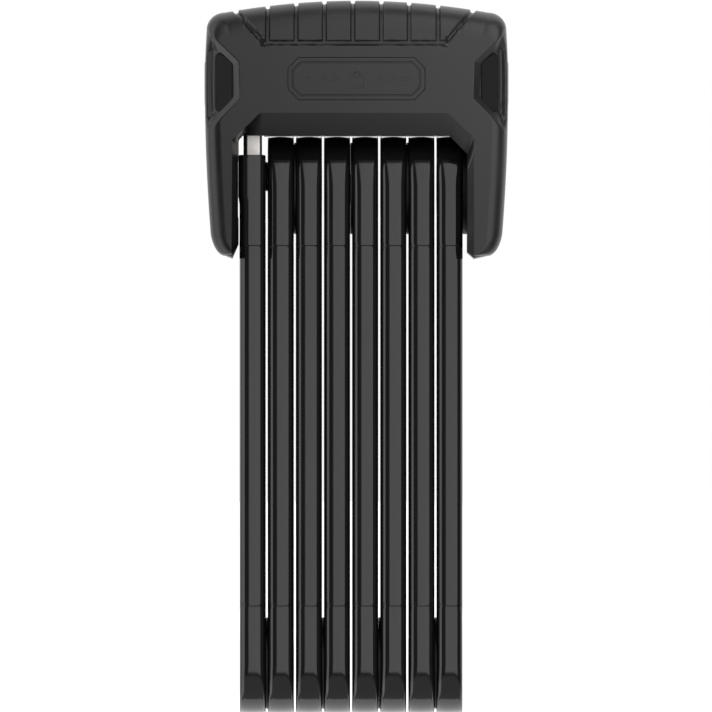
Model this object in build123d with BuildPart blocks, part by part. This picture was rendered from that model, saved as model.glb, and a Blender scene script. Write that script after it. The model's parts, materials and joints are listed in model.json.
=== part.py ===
"""Folding bike lock: eight riveted steel bars that fold up under a key-operated lock body.

Frame: millimetres, +Z up, front towards -Y. The folded lock stands on its lower bar ends;
the origin is under the middle of the body, on the plane that the bar ends touch.
All rivets turn about lines parallel to X.
"""
import os
from math import cos, radians, sin, sqrt

from build123d import *

# ---------------------------------------------------------------- bars
bar_count = 8
link_length = 131.8  # between the two rivet lines of a bar
bar_width = 28.2  # along Y, coating included; the ends are half circles
core_thickness = 5.5  # hardened steel plate
coat_side = 0.85  # coating on the flat sides of a bar
coat_edge = 1.0  # coating on the narrow edges
bar_gap = 0.6  # air between neighbouring bars
edge_round = 1.2  # rounding of the coated long edges
cap_radius = 21.3  # the moulded end caps reach this far from the rivet line
chain_shift = -1.5  # middle of the bar pack, left of the body's middle

# ---------------------------------------------------------------- rivets
rivet_radius = 4.0
rivet_head_radius = 7.0
rivet_head_height = 0.6
running_gap = 0.06  # radial, rivet in the bar that turns on it
axial_gap = 0.12  # sideways play of a joint
recess_gap = 0.3  # round a rivet head
disc_inset = 1.4  # joint discs, in from the round bar ends

# ---------------------------------------------------------------- tongue
tongue_thickness = 5.1
tongue_width = 16.0
eye_above_rivet = 29.1
eye_radius = 4.4
stop_above_rivet = 9.2  # flat shoulder at the top of the tongue bar
shoulder_overhang = 0.2  # the shoulder stands out this far at its outer side
shoulder_depth = 12.1
stop_boss_radius = 4.1  # low round stop on the shoulder's inner side
stop_boss_rise = 3.3  # its middle above the rivet line
tongue_gap = 0.5
slot_head_room = 0.8  # above the tongue's tip
swing_gap = 0.4  # round the corners of the shoulder as the pack swings
shoulder_side_gap = 0.6

# ---------------------------------------------------------------- lock body
body_width = 84.0
body_depth = 42.0
body_rise = 37.4  # from the underside of the body to the crown of its arched top
arch_drop = 3.3  # from the crown to the start of the top corners
top_corner = 5.0
side_drop_top = 0.5  # how far the bulging sides fall back at the top corner
side_drop_foot = 1.7  # and at the foot of the legs
belly_rise = 13.6  # of the widest place above the underside
leg_length = 34.1  # below the underside
leg_round_height = 7.6
knee_reach = 0.9  # rounding of the outer lower corners of the legs
knee_rise = 2.7
foot_reach = 4.1
foot_rise = 0.9
foot_slope = 9.0  # fall of the foot's line from there to the middle
left_leg_gap = 0.4  # between the first bar and the left leg
right_leg_gap = 1.3  # between the last bar and the right leg, filled by its joint disc
under_gap = 0.4  # from the bar ends to the underside of the body
diagonal = 5.1  # cut-off upper right corner of the opening
opening_round = 1.6
left_flare = 1.7  # cut-back of the inner lower corners of the legs
left_flare_height = 4.1
right_flare = 1.9
front_round = 4.5  # long upright edges
crown_round = 7.0  # top edge, front and back
bevel_height = 6.3
bevel_side = 1.8
bevel_depth = 6.0
bevel_corner = 7.7  # cut-off upper left corner of the bevel
groove_width = 1.1
level_groove_width = 1.3
groove_depth = 0.8
groove_count = 7
groove_pitch = 7.87
groove_rise = 25.6  # of the level groove above the underside
ramp_reach = 9.6  # of the two slanting grooves, sideways
ramp_rise = 10.4
pocket_depth = 3.0
pocket_reach = 9.6  # of the side hollows, in from the widest place
pocket_rise = 14.6  # middle of the hollow above the underside
pocket_height = 24.6
pocket_straight = 10.5
grip_height = 18.8
grip_straight = 11.6
grip_round = 1.4
grip_edge = 0.5
grip_inset = 2.7  # from the widest place
grip_width = 5.0
grip_rise = 1.8
badge_width = 38.0
badge_height = 11.8
badge_rise = 15.7  # middle of the panel above the underside
badge_corner = 3.0
badge_recess = 0.6

# ---------------------------------------------------------------- steel case
case_half_width = 36.0
case_half_depth = 16.5
case_rise = 3.6  # of its foot above the underside
case_height = 26.0
case_corner = 2.0
arm_half_width = 13.0
arm_thickness = 5.0
guard_thickness = 4.0  # steel plate in the left leg
leg_skin = 1.8  # cover wall between the last bar's joint disc and the steel arm
fit_gap = 0.1  # covers round the steel

# ---------------------------------------------------------------- key cylinder and bolt
cylinder_radius = 9.0
cylinder_inner_end = 4.0
plug_radius = 6.5
plug_gap = 0.08
plug_face = 3.0
disc_count = 9
disc_pitch = 2.6
disc_thickness = 2.4
detainer_radius = 5.0
detainer_gap = 0.1
keyway_height = 7.6
keyway_width = 2.4
sidebar_width = 2.0
sidebar_inset = 1.0  # from each end of the disc stack
key_turn = 90.0  # degrees
bolt_travel = 8.0
bolt_nose_radius = 3.9
bolt_block = 12.0
bolt_gap = 0.12
bolt_rest_gap = 0.4  # from the drawn-back bolt's nose to the tongue slot
nose_chamfer = 0.5
nose_wall = 5.3  # steel between the tongue slot and the bolt's channel
thrust = 0.4  # room past the thrown bolt's nose
block_gap = 0.4  # before the thrown block meets the end of its channel
cam_radius = 4.4
pin_radius = 1.0
pin_gap = 0.25
pin_depth = 1.4
pin_floor = 0.1  # between the pin's end and the bottom of the groove
pin_setback = 5.0  # of the follower pin from the cylinder's inner end
pin_wall = 1.8  # of the block behind its pin
cam_overrun = 1.6  # of the cam past the pin's far place
cam_flange = 2.4
cam_flange_gap = 0.2
cam_flange_play = 0.3
cam_bore_gap = 0.15
cam_bore_depth = 0.6  # past the cam's end
groove_steps = 18
rosette_radius = 6.0
rosette_rise = 0.15
rosette_ledge = 0.7  # seat of the rosette in the covers
flap_width = 4.4
flap_height = 9.2
flap_thickness = 0.9
flap_gap = 0.15
flap_back_gap = 0.3  # between the closed flap and the cylinder's room
trunnion_radius = 0.3
trunnion_length = 0.6
screw_radius = 1.5
screw_head_radius = 2.7
screw_head_height = 2.4
screw_bite = 5.4  # thread length in the steel case
screw_sink = 0.4  # heads below the back face
screw_columns = (-14.0, 31.0)
screw_rises = (10.1, 22.1)  # above the underside
screw_socket = 1.3
lock_pin_radius = 1.5
lock_pin_bite = 1.0
lock_pin_sink = 0.2

# ---------------------------------------------------------------- worked-out sizes
end_radius = bar_width / 2
disc_radius = end_radius - disc_inset
bar_thickness = core_thickness + 2 * coat_side
bar_pitch = bar_thickness + bar_gap
bar_top = link_length + bar_width
lower_rivet = end_radius
upper_rivet = end_radius + link_length
bar_middle = (lower_rivet + upper_rivet) / 2
first_bar = chain_shift - bar_pitch * (bar_count - 1) / 2
last_bar = -first_bar + 2 * chain_shift
half_depth = body_depth / 2
half_width = body_width / 2
pocket_inner = half_width - pocket_reach
grip_outer = half_width - grip_inset
grip_inner = grip_outer - grip_width
underside = bar_top + under_gap
body_top = underside + body_rise
leg_foot = underside - leg_length
side_belly = underside + belly_rise
groove_line = underside + groove_rise
pocket_middle = underside + pocket_rise
badge_middle = underside + badge_rise
case_foot = underside + case_rise
case_top = case_foot + case_height
left_leg_inner = first_bar - bar_thickness / 2 - left_leg_gap
right_leg_inner = last_bar + bar_thickness / 2 + right_leg_gap
shoulder = upper_rivet + stop_above_rivet
eye_height = upper_rivet + eye_above_rivet
key_height = eye_height
tongue_tip = eye_height + tongue_width / 2
slot_left = first_bar - tongue_thickness / 2 - tongue_gap
slot_right = first_bar + tongue_thickness / 2 + tongue_gap
slot_top = tongue_tip + slot_head_room
corner_reach = sqrt(end_radius**2 + stop_above_rivet**2) + swing_gap
swing_left = first_bar - bar_thickness / 2 - shoulder_overhang - shoulder_side_gap
swing_right = first_bar + bar_thickness / 2 + bar_gap
right_arm_inner = right_leg_inner + leg_skin
guard_inner = left_leg_inner - leg_skin
bolt_tip = slot_right + bolt_rest_gap
channel_end = slot_right + nose_wall
block_start = channel_end + bolt_travel + block_gap
pin_place = cylinder_inner_end - pin_setback
cam_end = pin_place - bolt_travel - cam_overrun
block_end = pin_place + pin_wall
far_seat = bolt_tip - bolt_travel - thrust
key_end = case_half_width  # the cylinder ends flush with the case
flange_start = cylinder_inner_end - cam_flange
lock_pin_x = (case_half_width + cylinder_inner_end) / 2
lock_pin_foot = key_height + cylinder_radius - lock_pin_bite
head_seat = half_depth - screw_sink - screw_head_height
screw_places = [(-column, underside + rise) for column in screw_columns for rise in screw_rises]


def bar_x(number):
    return first_bar + bar_pitch * (number - 1)


def across(x):
    """Plane square to X: its own axes are Y and Z."""
    return Plane.YZ.offset(x)


def behind(y):
    """Plane that faces backwards at the given depth: its own axes are -X and Z."""
    return Plane(origin=(0, y, 0), x_dir=(-1, 0, 0), z_dir=(0, 1, 0))


pieces = []


def keep(part, label):
    part.label = label
    pieces.append(part)


# ================================================================ bars, rivets and joint discs
def upper_side(number):
    """+1 where the bar's upper rivet holds it to its right-hand neighbour, -1 to its left."""
    return 1 if number % 2 == 0 else -1


def bar_envelope(number):
    """Coated bar as one solid, before the steel core is taken out of it."""
    x = bar_x(number)
    with BuildPart() as envelope:
        with BuildSketch(across(x - bar_thickness / 2)):
            with Locations((0, bar_middle)):
                SlotCenterToCenter(link_length, bar_width, rotation=90)
        extrude(amount=bar_thickness)
        fillet(envelope.faces().filter_by(Axis.X).edges(), edge_round)
        if number == 1:
            with BuildSketch(across(x - bar_thickness / 2 - shoulder_overhang)):
                with Locations((0, shoulder)):
                    Rectangle(bar_width, shoulder_depth, align=(Align.CENTER, Align.MAX))
            extrude(amount=bar_thickness + shoulder_overhang)
            with BuildSketch(across(x + core_thickness / 2)):
                with Locations((0, upper_rivet + stop_boss_rise)):
                    Circle(stop_boss_radius)
            extrude(amount=coat_side + bar_gap - axial_gap)
            with BuildSketch(across(x - bar_thickness)):
                with Locations((0, shoulder)):
                    Rectangle(2 * bar_width, bar_width, align=(Align.CENTER, Align.MIN))
            extrude(amount=2 * bar_thickness, mode=Mode.SUBTRACT)
    return envelope.part


def bar_core(number):
    """Steel plate; the first bar's plate carries the locking tongue at its top."""
    x = bar_x(number)
    child_at_top = number % 2 == 0
    with BuildPart() as core:
        with BuildSketch(across(x - core_thickness / 2)):
            with Locations((0, bar_middle)):
                SlotCenterToCenter(link_length, bar_width - 2 * coat_edge, rotation=90)
            if number == 1:
                with Locations((0, shoulder)):
                    Rectangle(bar_width, bar_width, align=(Align.CENTER, Align.MIN), mode=Mode.SUBTRACT)
        extrude(amount=core_thickness)
        for height, at_top in ((lower_rivet, False), (upper_rivet, True)):
            if number == 1 and at_top:
                continue
            turns = at_top == child_at_top
            with BuildSketch(across(x - core_thickness)):
                with Locations((0, height)):
                    Circle(rivet_radius + (running_gap if turns else 0))
            extrude(amount=2 * core_thickness, mode=Mode.SUBTRACT)
        if number == 1:
            with BuildSketch(across(x - tongue_thickness / 2)):
                with Locations((0, upper_rivet)):
                    Rectangle(tongue_width, eye_above_rivet, align=(Align.CENTER, Align.MIN))
                with Locations((0, eye_height)):
                    Circle(tongue_width / 2)
                    Circle(eye_radius, mode=Mode.SUBTRACT)
            extrude(amount=tongue_thickness)
    return core.part


def bar_coat(number, core, caps):
    """Coating round the core: the two end caps, or the sleeve between them."""
    x = bar_x(number)
    side = upper_side(number)
    with BuildPart() as coat:
        add(bar_envelope(number))
        add(core, mode=Mode.SUBTRACT)
        with BuildSketch(across(x - bar_thickness)):
            with Locations((0, lower_rivet), (0, upper_rivet)):
                Circle(cap_radius)
        extrude(amount=2 * bar_thickness, mode=Mode.INTERSECT if caps else Mode.SUBTRACT)
        if caps:
            for height, inner in ((lower_rivet, -side), (upper_rivet, side)):
                if number == 1 and height == upper_rivet:
                    continue
                with BuildSketch(across(x)):
                    with Locations((0, height)):
                        Circle(rivet_radius + running_gap)
                extrude(amount=inner * bar_thickness, mode=Mode.SUBTRACT)
                with BuildSketch(across(x)):
                    with Locations((0, height)):
                        Circle(rivet_head_radius + recess_gap)
                extrude(amount=-inner * bar_thickness, mode=Mode.SUBTRACT)
                add(core, mode=Mode.SUBTRACT)
    return coat.part


def rivet(left, right, height):
    """Shank between two outer faces, with a low head at each end."""
    with BuildPart() as pin:
        with BuildSketch(across(left)):
            with Locations((0, height)):
                Circle(rivet_radius)
        extrude(amount=right - left)
        for x in (left - rivet_head_height, right):
            with BuildSketch(across(x)):
                with Locations((0, height)):
                    Circle(rivet_head_radius)
            extrude(amount=rivet_head_height)
    return pin.part


def joint_disc(left, right, height):
    """Slippery washer that keeps two neighbours apart."""
    with BuildPart() as disc:
        with BuildSketch(across(left)):
            with Locations((0, height)):
                Circle(disc_radius)
                Circle(rivet_radius, mode=Mode.SUBTRACT)
        extrude(amount=right - left)
    return disc.part


for number in range(1, bar_count + 1):
    core = bar_core(number)
    keep(core, f"bar_{number}_core")
    keep(bar_coat(number, core, caps=False), f"bar_{number}_sleeve")
    keep(bar_coat(number, core, caps=True), f"bar_{number}_end_caps")

for number in range(1, bar_count):
    height = lower_rivet if number % 2 else upper_rivet
    child_face = bar_x(number) - core_thickness / 2 - axial_gap
    parent_face = bar_x(number + 1) + core_thickness / 2
    keep(rivet(child_face, parent_face, height), f"rivet_{number}_{number + 1}")
    disc_left = bar_x(number) + bar_thickness / 2 + axial_gap
    disc_right = bar_x(number + 1) - bar_thickness / 2
    keep(joint_disc(disc_left, disc_right, height), f"joint_disc_{number}_{number + 1}")

body_rivet_left = last_bar - core_thickness / 2 - axial_gap
body_rivet_right = right_arm_inner + arm_thickness
keep(rivet(body_rivet_left, body_rivet_right, upper_rivet), "rivet_body")
keep(joint_disc(last_bar + bar_thickness / 2 + axial_gap, right_leg_inner, upper_rivet), "joint_disc_body")


# ================================================================ lock body: outer form
def housing_envelope(inset):
    """Outer form of the body without its opening, moved in by inset all round."""
    crown = body_top - inset
    wide = half_width - inset
    corner_x = wide - top_corner
    with BuildPart() as form:
        with BuildSketch(Plane.XZ.offset(-half_depth)):
            with BuildLine():
                arch = ThreePointArc(
                    (-corner_x, crown - arch_drop), (0, crown), (corner_x, crown - arch_drop)
                )
                shoulder_z = crown - arch_drop - top_corner
                corner_mid = top_corner * (1 - cos(radians(45)))
                side_x = wide - side_drop_top
                right_corner = ThreePointArc(
                    arch @ 1, (side_x - corner_mid, crown - arch_drop - corner_mid), (side_x, shoulder_z)
                )
                mid_z = (shoulder_z + side_belly) / 2
                right_upper = ThreePointArc(
                    right_corner @ 1, (wide - side_drop_top / 4, mid_z), (wide, side_belly)
                )
                knee_z = leg_foot + leg_round_height
                low_mid = (side_belly + knee_z) / 2
                right_lower = ThreePointArc(
                    right_upper @ 1, (wide - side_drop_foot / 4, low_mid), (wide - side_drop_foot, knee_z)
                )
                knee_x = wide - side_drop_foot
                right_foot = ThreePointArc(
                    right_lower @ 1,
                    (knee_x - knee_reach, leg_foot + knee_rise),
                    (knee_x - foot_reach, leg_foot + foot_rise),
                )
                Line(right_foot @ 1, (0, leg_foot - foot_slope))
                mirror(about=Plane.YZ)
            make_face()
        extrude(amount=body_depth)
        with BuildSketch(Plane.XY.offset(leg_foot - 10)):
            RectangleRounded(2 * wide, body_depth - 2 * inset, front_round)
        extrude(amount=body_top - leg_foot + 10, mode=Mode.INTERSECT)
        with BuildSketch(Plane.YZ.offset(-half_width)):
            with Locations((0, crown)):
                tall = 2 * (body_top - leg_foot)
                RectangleRounded(
                    body_depth - 2 * inset, tall, crown_round, align=(Align.CENTER, Align.MAX)
                )
        extrude(amount=body_width, mode=Mode.INTERSECT)
    return form.part


def opening_outline(rise, spread, cut):
    """Corners of the opening, widened upwards and sideways, with its upper left corner cut off."""
    low = leg_foot - 20
    return [
        (left_leg_inner - spread, low),
        (left_leg_inner - spread, underside + rise - cut),
        (left_leg_inner - spread + cut, underside + rise),
        (right_leg_inner - diagonal, underside + rise),
        (right_leg_inner + spread, underside + rise - diagonal - spread),
        (right_leg_inner + spread, low),
    ]


with BuildPart() as opening:
    with BuildSketch(Plane.XZ.offset(-half_depth - 1)):
        with BuildLine():
            Polyline(
                (left_leg_inner - left_flare, leg_foot - 20),
                (left_leg_inner - left_flare, leg_foot),
                (left_leg_inner, leg_foot + left_flare_height),
                (left_leg_inner, underside),
                (right_leg_inner - diagonal, underside),
                (right_leg_inner, underside - diagonal),
                (right_leg_inner, leg_foot + right_flare),
                (right_leg_inner + right_flare, leg_foot),
                (right_leg_inner + right_flare, leg_foot - 20),
                close=True,
            )
        make_face()
    extrude(amount=body_depth + 2)
    fillet(opening.edges().filter_by(Axis.Y).group_by(Axis.Z)[-1].sort_by(Axis.X)[0], opening_round)
    with BuildSketch(across(right_leg_inner)):
        with Locations((0, underside)):
            Rectangle(2 * (half_depth - bevel_depth), diagonal, align=(Align.CENTER, Align.MAX))
    extrude(amount=-diagonal)

with BuildPart() as opening_bevel:
    with BuildSketch(Plane.XZ.offset(half_depth)):
        Polygon(*opening_outline(bevel_height, bevel_side, bevel_corner), align=None)
    with BuildSketch(Plane.XZ.offset(half_depth - bevel_depth)):
        Polygon(*opening_outline(0, 0, opening_round), align=None)
    loft()
    mirror(about=Plane.XZ)

with BuildPart() as grip_grooves:
    with BuildSketch(Plane.XZ.offset(-half_depth - 1)):
        groove_span = groove_pitch * (groove_count - 1)
        with Locations((0, groove_line)):
            Rectangle(groove_span + 2 * groove_width, level_groove_width)
        with GridLocations(groove_pitch, 0, groove_count, 1):
            with Locations((0, groove_line)):
                Rectangle(groove_width, body_top, align=(Align.CENTER, Align.MIN))
        for side in (-1, 1):
            foot = (side * (groove_span + groove_width) / 2, groove_line)
            head = (side * (groove_span / 2 + ramp_reach), groove_line + ramp_rise)
            with BuildLine() as ramp:
                Line(foot, head)
            trace(ramp.line, groove_width)
    extrude(amount=body_depth + 2)
    add(housing_envelope(groove_depth), mode=Mode.SUBTRACT)


def side_outline(inner, straight, outer, height):
    """Four corners of a hollow or grip: a short upright inner edge and a taller outer one."""
    return [
        (inner, pocket_middle - straight / 2),
        (outer, pocket_middle - height / 2),
        (outer, pocket_middle + height / 2),
        (inner, pocket_middle + straight / 2),
    ]


with BuildPart() as side_pockets:
    with BuildSketch(Plane.XZ.offset(half_depth - pocket_depth)):
        outline = side_outline(pocket_inner, pocket_straight, half_width + 1, pocket_height)
        Polygon(*outline, align=None)
    extrude(amount=pocket_depth + 1)
    mirror(about=Plane.YZ)

with BuildPart() as tongue_slot:
    with BuildSketch(Plane.XY.offset(underside - 1)):
        slot_front = -tongue_width / 2 - tongue_gap
        with Locations(((slot_left + slot_right) / 2, slot_front)):
            Rectangle(slot_right - slot_left, 2 * body_depth, align=(Align.CENTER, Align.MIN))
    extrude(amount=slot_top - underside + 1)
    with BuildSketch(across(swing_left)):
        with Locations((0, upper_rivet)):
            Circle(corner_reach)
    extrude(amount=swing_right - swing_left)

# ================================================================ steel case and arms
with BuildPart() as lock_case:
    with BuildSketch(Plane.XY.offset(case_foot)):
        RectangleRounded(2 * case_half_width, 2 * case_half_depth, case_corner)
    extrude(amount=case_top - case_foot)
    with BuildSketch(across(case_half_width)):
        with Locations((0, key_height)):
            Circle(cylinder_radius)
    extrude(amount=flange_start - cam_flange_gap - case_half_width, mode=Mode.SUBTRACT)
    with BuildSketch(across(cylinder_inner_end)):
        with Locations((0, key_height)):
            Rectangle(bolt_block + 2 * bolt_gap, bolt_block + 2 * bolt_gap)
    extrude(amount=channel_end - cylinder_inner_end, mode=Mode.SUBTRACT)
    with BuildSketch(across(cylinder_inner_end)):
        with Locations((0, key_height)):
            Circle(bolt_nose_radius + bolt_gap)
    extrude(amount=far_seat - cylinder_inner_end, mode=Mode.SUBTRACT)
    add(tongue_slot.part, mode=Mode.SUBTRACT)
    with Locations((lock_pin_x, 0, case_top)):
        Hole(lock_pin_radius, depth=case_top - key_height)
    with Locations(behind(case_half_depth)):
        with Locations(*screw_places):
            Hole(screw_radius, depth=screw_bite)
keep(lock_case.part, "lock_case")

for label, inner, thickness in (
    ("pivot_arm", right_arm_inner, arm_thickness),
    ("guard_arm", guard_inner, -guard_thickness),
):
    with BuildPart() as arm:
        with BuildSketch(across(inner)):
            with Locations((0, upper_rivet)):
                Circle(arm_half_width)
                Rectangle(2 * arm_half_width, case_foot - upper_rivet, align=(Align.CENTER, Align.MIN))
                if label == "pivot_arm":
                    Circle(rivet_radius, mode=Mode.SUBTRACT)
        extrude(amount=thickness)
    keep(arm.part, label)

# ================================================================ key cylinder
with BuildPart() as cylinder_body:
    with BuildSketch(across(cylinder_inner_end)):
        with Locations((0, key_height)):
            Circle(cylinder_radius)
            Circle(plug_radius + plug_gap, mode=Mode.SUBTRACT)
    extrude(amount=key_end - cylinder_inner_end)
    with Locations((lock_pin_x, 0, key_height + cylinder_radius)):
        Hole(lock_pin_radius, depth=lock_pin_bite)
keep(cylinder_body.part, "cylinder_body")

with BuildPart() as retaining_pin:
    with BuildSketch(Plane.XY.offset(lock_pin_foot)):
        with Locations((lock_pin_x, 0)):
            Circle(lock_pin_radius)
    extrude(amount=case_top - lock_pin_sink - lock_pin_foot)
keep(retaining_pin.part, "cylinder_retaining_pin")

chamber_end = key_end - plug_face
stack_start = chamber_end - disc_count * disc_pitch
sidebar_low = detainer_radius + 1.5 * detainer_gap
sidebar_high = plug_radius - 1.5 * detainer_gap
sidebar_start = stack_start + sidebar_inset
sidebar_length = chamber_end - stack_start - 2 * sidebar_inset

with BuildPart() as sidebar:
    with Locations((sidebar_start, 0, key_height + sidebar_low)):
        bar_height = sidebar_high - sidebar_low
        Box(sidebar_length, sidebar_width, bar_height, align=(Align.MIN, Align.CENTER, Align.MIN))
keep(sidebar.part, "sidebar")

with BuildPart() as cylinder_plug:
    with BuildSketch(across(cylinder_inner_end)):
        with Locations((0, key_height)):
            Circle(plug_radius)
    extrude(amount=key_end - cylinder_inner_end)
    with BuildSketch(across(cylinder_inner_end)):
        with Locations((0, key_height)):
            Circle(detainer_radius + detainer_gap)
    extrude(amount=chamber_end - cylinder_inner_end, mode=Mode.SUBTRACT)
    with BuildSketch(across(chamber_end)):
        with Locations((0, key_height)):
            Rectangle(keyway_width, keyway_height)
    extrude(amount=plug_face, mode=Mode.SUBTRACT)
    with BuildSketch(across(sidebar_start)):
        with Locations((0, key_height)):
            Rectangle(sidebar_width, plug_radius, align=(Align.CENTER, Align.MIN))
    extrude(amount=sidebar_length, mode=Mode.SUBTRACT)
keep(cylinder_plug.part, "cylinder_plug")

with BuildPart() as detainer_discs:
    for place in range(disc_count):
        with BuildSketch(across(stack_start + disc_pitch * place)):
            with Locations((0, key_height)):
                Circle(detainer_radius)
                Rectangle(keyway_width, keyway_height, mode=Mode.SUBTRACT)
        extrude(amount=disc_thickness)
keep(detainer_discs.part, "detainer_discs")

with BuildPart() as drive_cam:
    with BuildSketch(across(cam_end)):
        with Locations((0, key_height)):
            Circle(cam_radius)
    extrude(amount=flange_start - cam_end)
    with BuildSketch(across(flange_start)):
        with Locations((0, key_height)):
            Circle(plug_radius - cam_flange_play)
    extrude(amount=cam_flange)
    with BuildSketch(across(cylinder_inner_end)):
        with Locations((0, key_height)):
            Circle(detainer_radius)
    extrude(amount=stack_start - cylinder_inner_end - detainer_gap)
    for step in range(groove_steps + 1):
        turn = radians(key_turn * step / groove_steps)
        outward = (0, sin(turn), cos(turn))
        bottom = cam_radius - pin_depth - pin_floor
        foot = (
            pin_place - bolt_travel * step / groove_steps,
            bottom * outward[1],
            key_height + bottom * outward[2],
        )
        with BuildSketch(Plane(origin=foot, x_dir=(1, 0, 0), z_dir=outward)):
            Circle(pin_radius + pin_gap)
        extrude(amount=2 * pin_depth, mode=Mode.SUBTRACT)
keep(drive_cam.part, "drive_cam")

# ================================================================ deadbolt
with BuildPart() as deadbolt:
    with BuildSketch(across(block_start)):
        with Locations((0, key_height)):
            Rectangle(bolt_block, bolt_block)
    extrude(amount=block_end - block_start)
    with BuildSketch(across(block_start)):
        with Locations((0, key_height)):
            Circle(bolt_nose_radius)
    extrude(amount=bolt_tip - block_start)
    chamfer(deadbolt.faces().sort_by(Axis.X)[0].edges(), nose_chamfer)
    with BuildSketch(across(block_end)):
        with Locations((0, key_height)):
            Circle(cam_radius + cam_bore_gap)
    extrude(amount=cam_end - cam_bore_depth - block_end, mode=Mode.SUBTRACT)
    with Locations((pin_place, 0, key_height + bolt_block / 2)):
        Hole(pin_radius, depth=bolt_block / 2)
keep(deadbolt.part, "deadbolt")

with BuildPart() as follower_pin:
    with BuildSketch(Plane.XY.offset(key_height + cam_radius - pin_depth + pin_floor)):
        with Locations((pin_place, 0)):
            Circle(pin_radius)
    extrude(amount=bolt_block / 2 - cam_radius + pin_depth - 2 * pin_floor)
keep(follower_pin.part, "bolt_follower_pin")

# ================================================================ keyhole rosette, dust flap and blank cap
rosette_outer = half_width + rosette_rise
flap_face = half_width
flap_pin_x = flap_face - flap_thickness / 2
flap_pin_y = -flap_width / 2 + flap_thickness / 2
flap_pin_radius = flap_thickness / 2
rosette_seat = flap_face - flap_thickness - flap_back_gap

with BuildPart() as keyhole_rosette:
    with BuildSketch(across(rosette_seat)):
        with Locations((0, key_height)):
            Circle(rosette_radius)
            Rectangle(flap_width + 2 * flap_gap, flap_height + 2 * flap_gap, mode=Mode.SUBTRACT)
    extrude(amount=rosette_outer - rosette_seat)
    with BuildSketch(Plane.XY.offset(key_height - flap_height / 2 - trunnion_length - flap_gap)):
        with Locations((flap_pin_x, flap_pin_y)):
            Circle(trunnion_radius + running_gap)
    extrude(amount=flap_height + 2 * trunnion_length + 2 * flap_gap, mode=Mode.SUBTRACT)
keep(keyhole_rosette.part, "keyhole_rosette")

with BuildPart() as keyhole_flap:
    with BuildSketch(Plane.XY.offset(key_height - flap_height / 2)):
        with Locations((flap_pin_x, flap_pin_y)):
            Circle(flap_pin_radius)
            Rectangle(flap_thickness, flap_width - flap_thickness / 2, align=(Align.CENTER, Align.MIN))
    extrude(amount=flap_height)
    with BuildSketch(Plane.XY.offset(key_height - flap_height / 2 - trunnion_length)):
        with Locations((flap_pin_x, flap_pin_y)):
            Circle(trunnion_radius)
    extrude(amount=flap_height + 2 * trunnion_length)
keep(keyhole_flap.part, "keyhole_flap")

with BuildPart() as blank_cap:
    with BuildSketch(across(-rosette_seat)):
        with Locations((0, key_height)):
            Circle(rosette_radius)
    extrude(amount=rosette_seat - rosette_outer)
keep(blank_cap.part, "blank_cap")

# ================================================================ covers
with BuildPart() as steel_room:
    with BuildSketch(Plane.XY.offset(case_foot - fit_gap)):
        RectangleRounded(2 * (case_half_width + fit_gap), 2 * (case_half_depth + fit_gap), case_corner)
    extrude(amount=case_top - case_foot + 2 * fit_gap)
    for inner, thickness in ((right_arm_inner, arm_thickness), (guard_inner, -guard_thickness)):
        with BuildSketch(across(inner)):
            with Locations((0, upper_rivet)):
                Circle(arm_half_width + fit_gap)
                arm_room = 2 * (arm_half_width + fit_gap)
                Rectangle(arm_room, case_foot - upper_rivet, align=(Align.CENTER, Align.MIN))
        extrude(amount=thickness)
    with BuildSketch(across(right_leg_inner - 1)):
        with Locations((0, upper_rivet)):
            Circle(rivet_radius + fit_gap)
    extrude(amount=arm_thickness)
    with BuildSketch(across(body_rivet_right)):
        with Locations((0, upper_rivet)):
            Circle(rivet_head_radius + recess_gap)
    extrude(amount=rivet_head_height + fit_gap)
    with BuildSketch(across(case_half_width)):
        with Locations((0, key_height)):
            Circle(rosette_radius - rosette_ledge)
    extrude(amount=rosette_seat - case_half_width)
    for side in (-1, 1):
        with BuildSketch(across(side * rosette_seat)):
            with Locations((0, key_height)):
                Circle(rosette_radius)
        extrude(amount=side * 2)

with BuildPart() as screw_room:
    with BuildSketch(behind(case_half_depth)):
        with Locations(*screw_places):
            Circle(screw_radius + fit_gap)
    extrude(amount=body_depth)
    with BuildSketch(behind(head_seat)):
        with Locations(*screw_places):
            Circle(screw_head_radius + fit_gap)
    extrude(amount=body_depth)

with BuildPart() as badge_room:
    with BuildSketch(Plane.XZ.offset(half_depth - badge_recess)):
        with Locations((0, badge_middle)):
            badge_outline = Rectangle(badge_width, badge_height)
        chamfer(badge_outline.vertices(), badge_corner)
    extrude(amount=2 * badge_recess)

with BuildPart() as housing:
    add(housing_envelope(0))
    for cutter in (opening, opening_bevel, grip_grooves, side_pockets, tongue_slot, steel_room, screw_room):
        add(cutter.part, mode=Mode.SUBTRACT)
    add(badge_room.part, mode=Mode.SUBTRACT)

with BuildPart() as front_cover:
    add(housing.part)
    with BuildSketch(Plane.XZ):
        with Locations((0, leg_foot - 20)):
            Rectangle(2 * body_width, 2 * body_top, align=(Align.CENTER, Align.MIN))
    extrude(amount=body_depth, mode=Mode.INTERSECT)
keep(front_cover.part, "front_cover")

with BuildPart() as rear_cover:
    add(housing.part)
    with BuildSketch(Plane.XZ):
        with Locations((0, leg_foot - 20)):
            Rectangle(2 * body_width, 2 * body_top, align=(Align.CENTER, Align.MIN))
    extrude(amount=-body_depth, mode=Mode.INTERSECT)
keep(rear_cover.part, "rear_cover")

with BuildPart() as badge_panel:
    with BuildSketch(Plane.XZ.offset(half_depth - badge_recess)):
        with Locations((0, badge_middle)):
            panel_outline = Rectangle(badge_width, badge_height)
        chamfer(panel_outline.vertices(), badge_corner)
    extrude(amount=badge_recess)
keep(badge_panel.part, "badge_panel")

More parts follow.
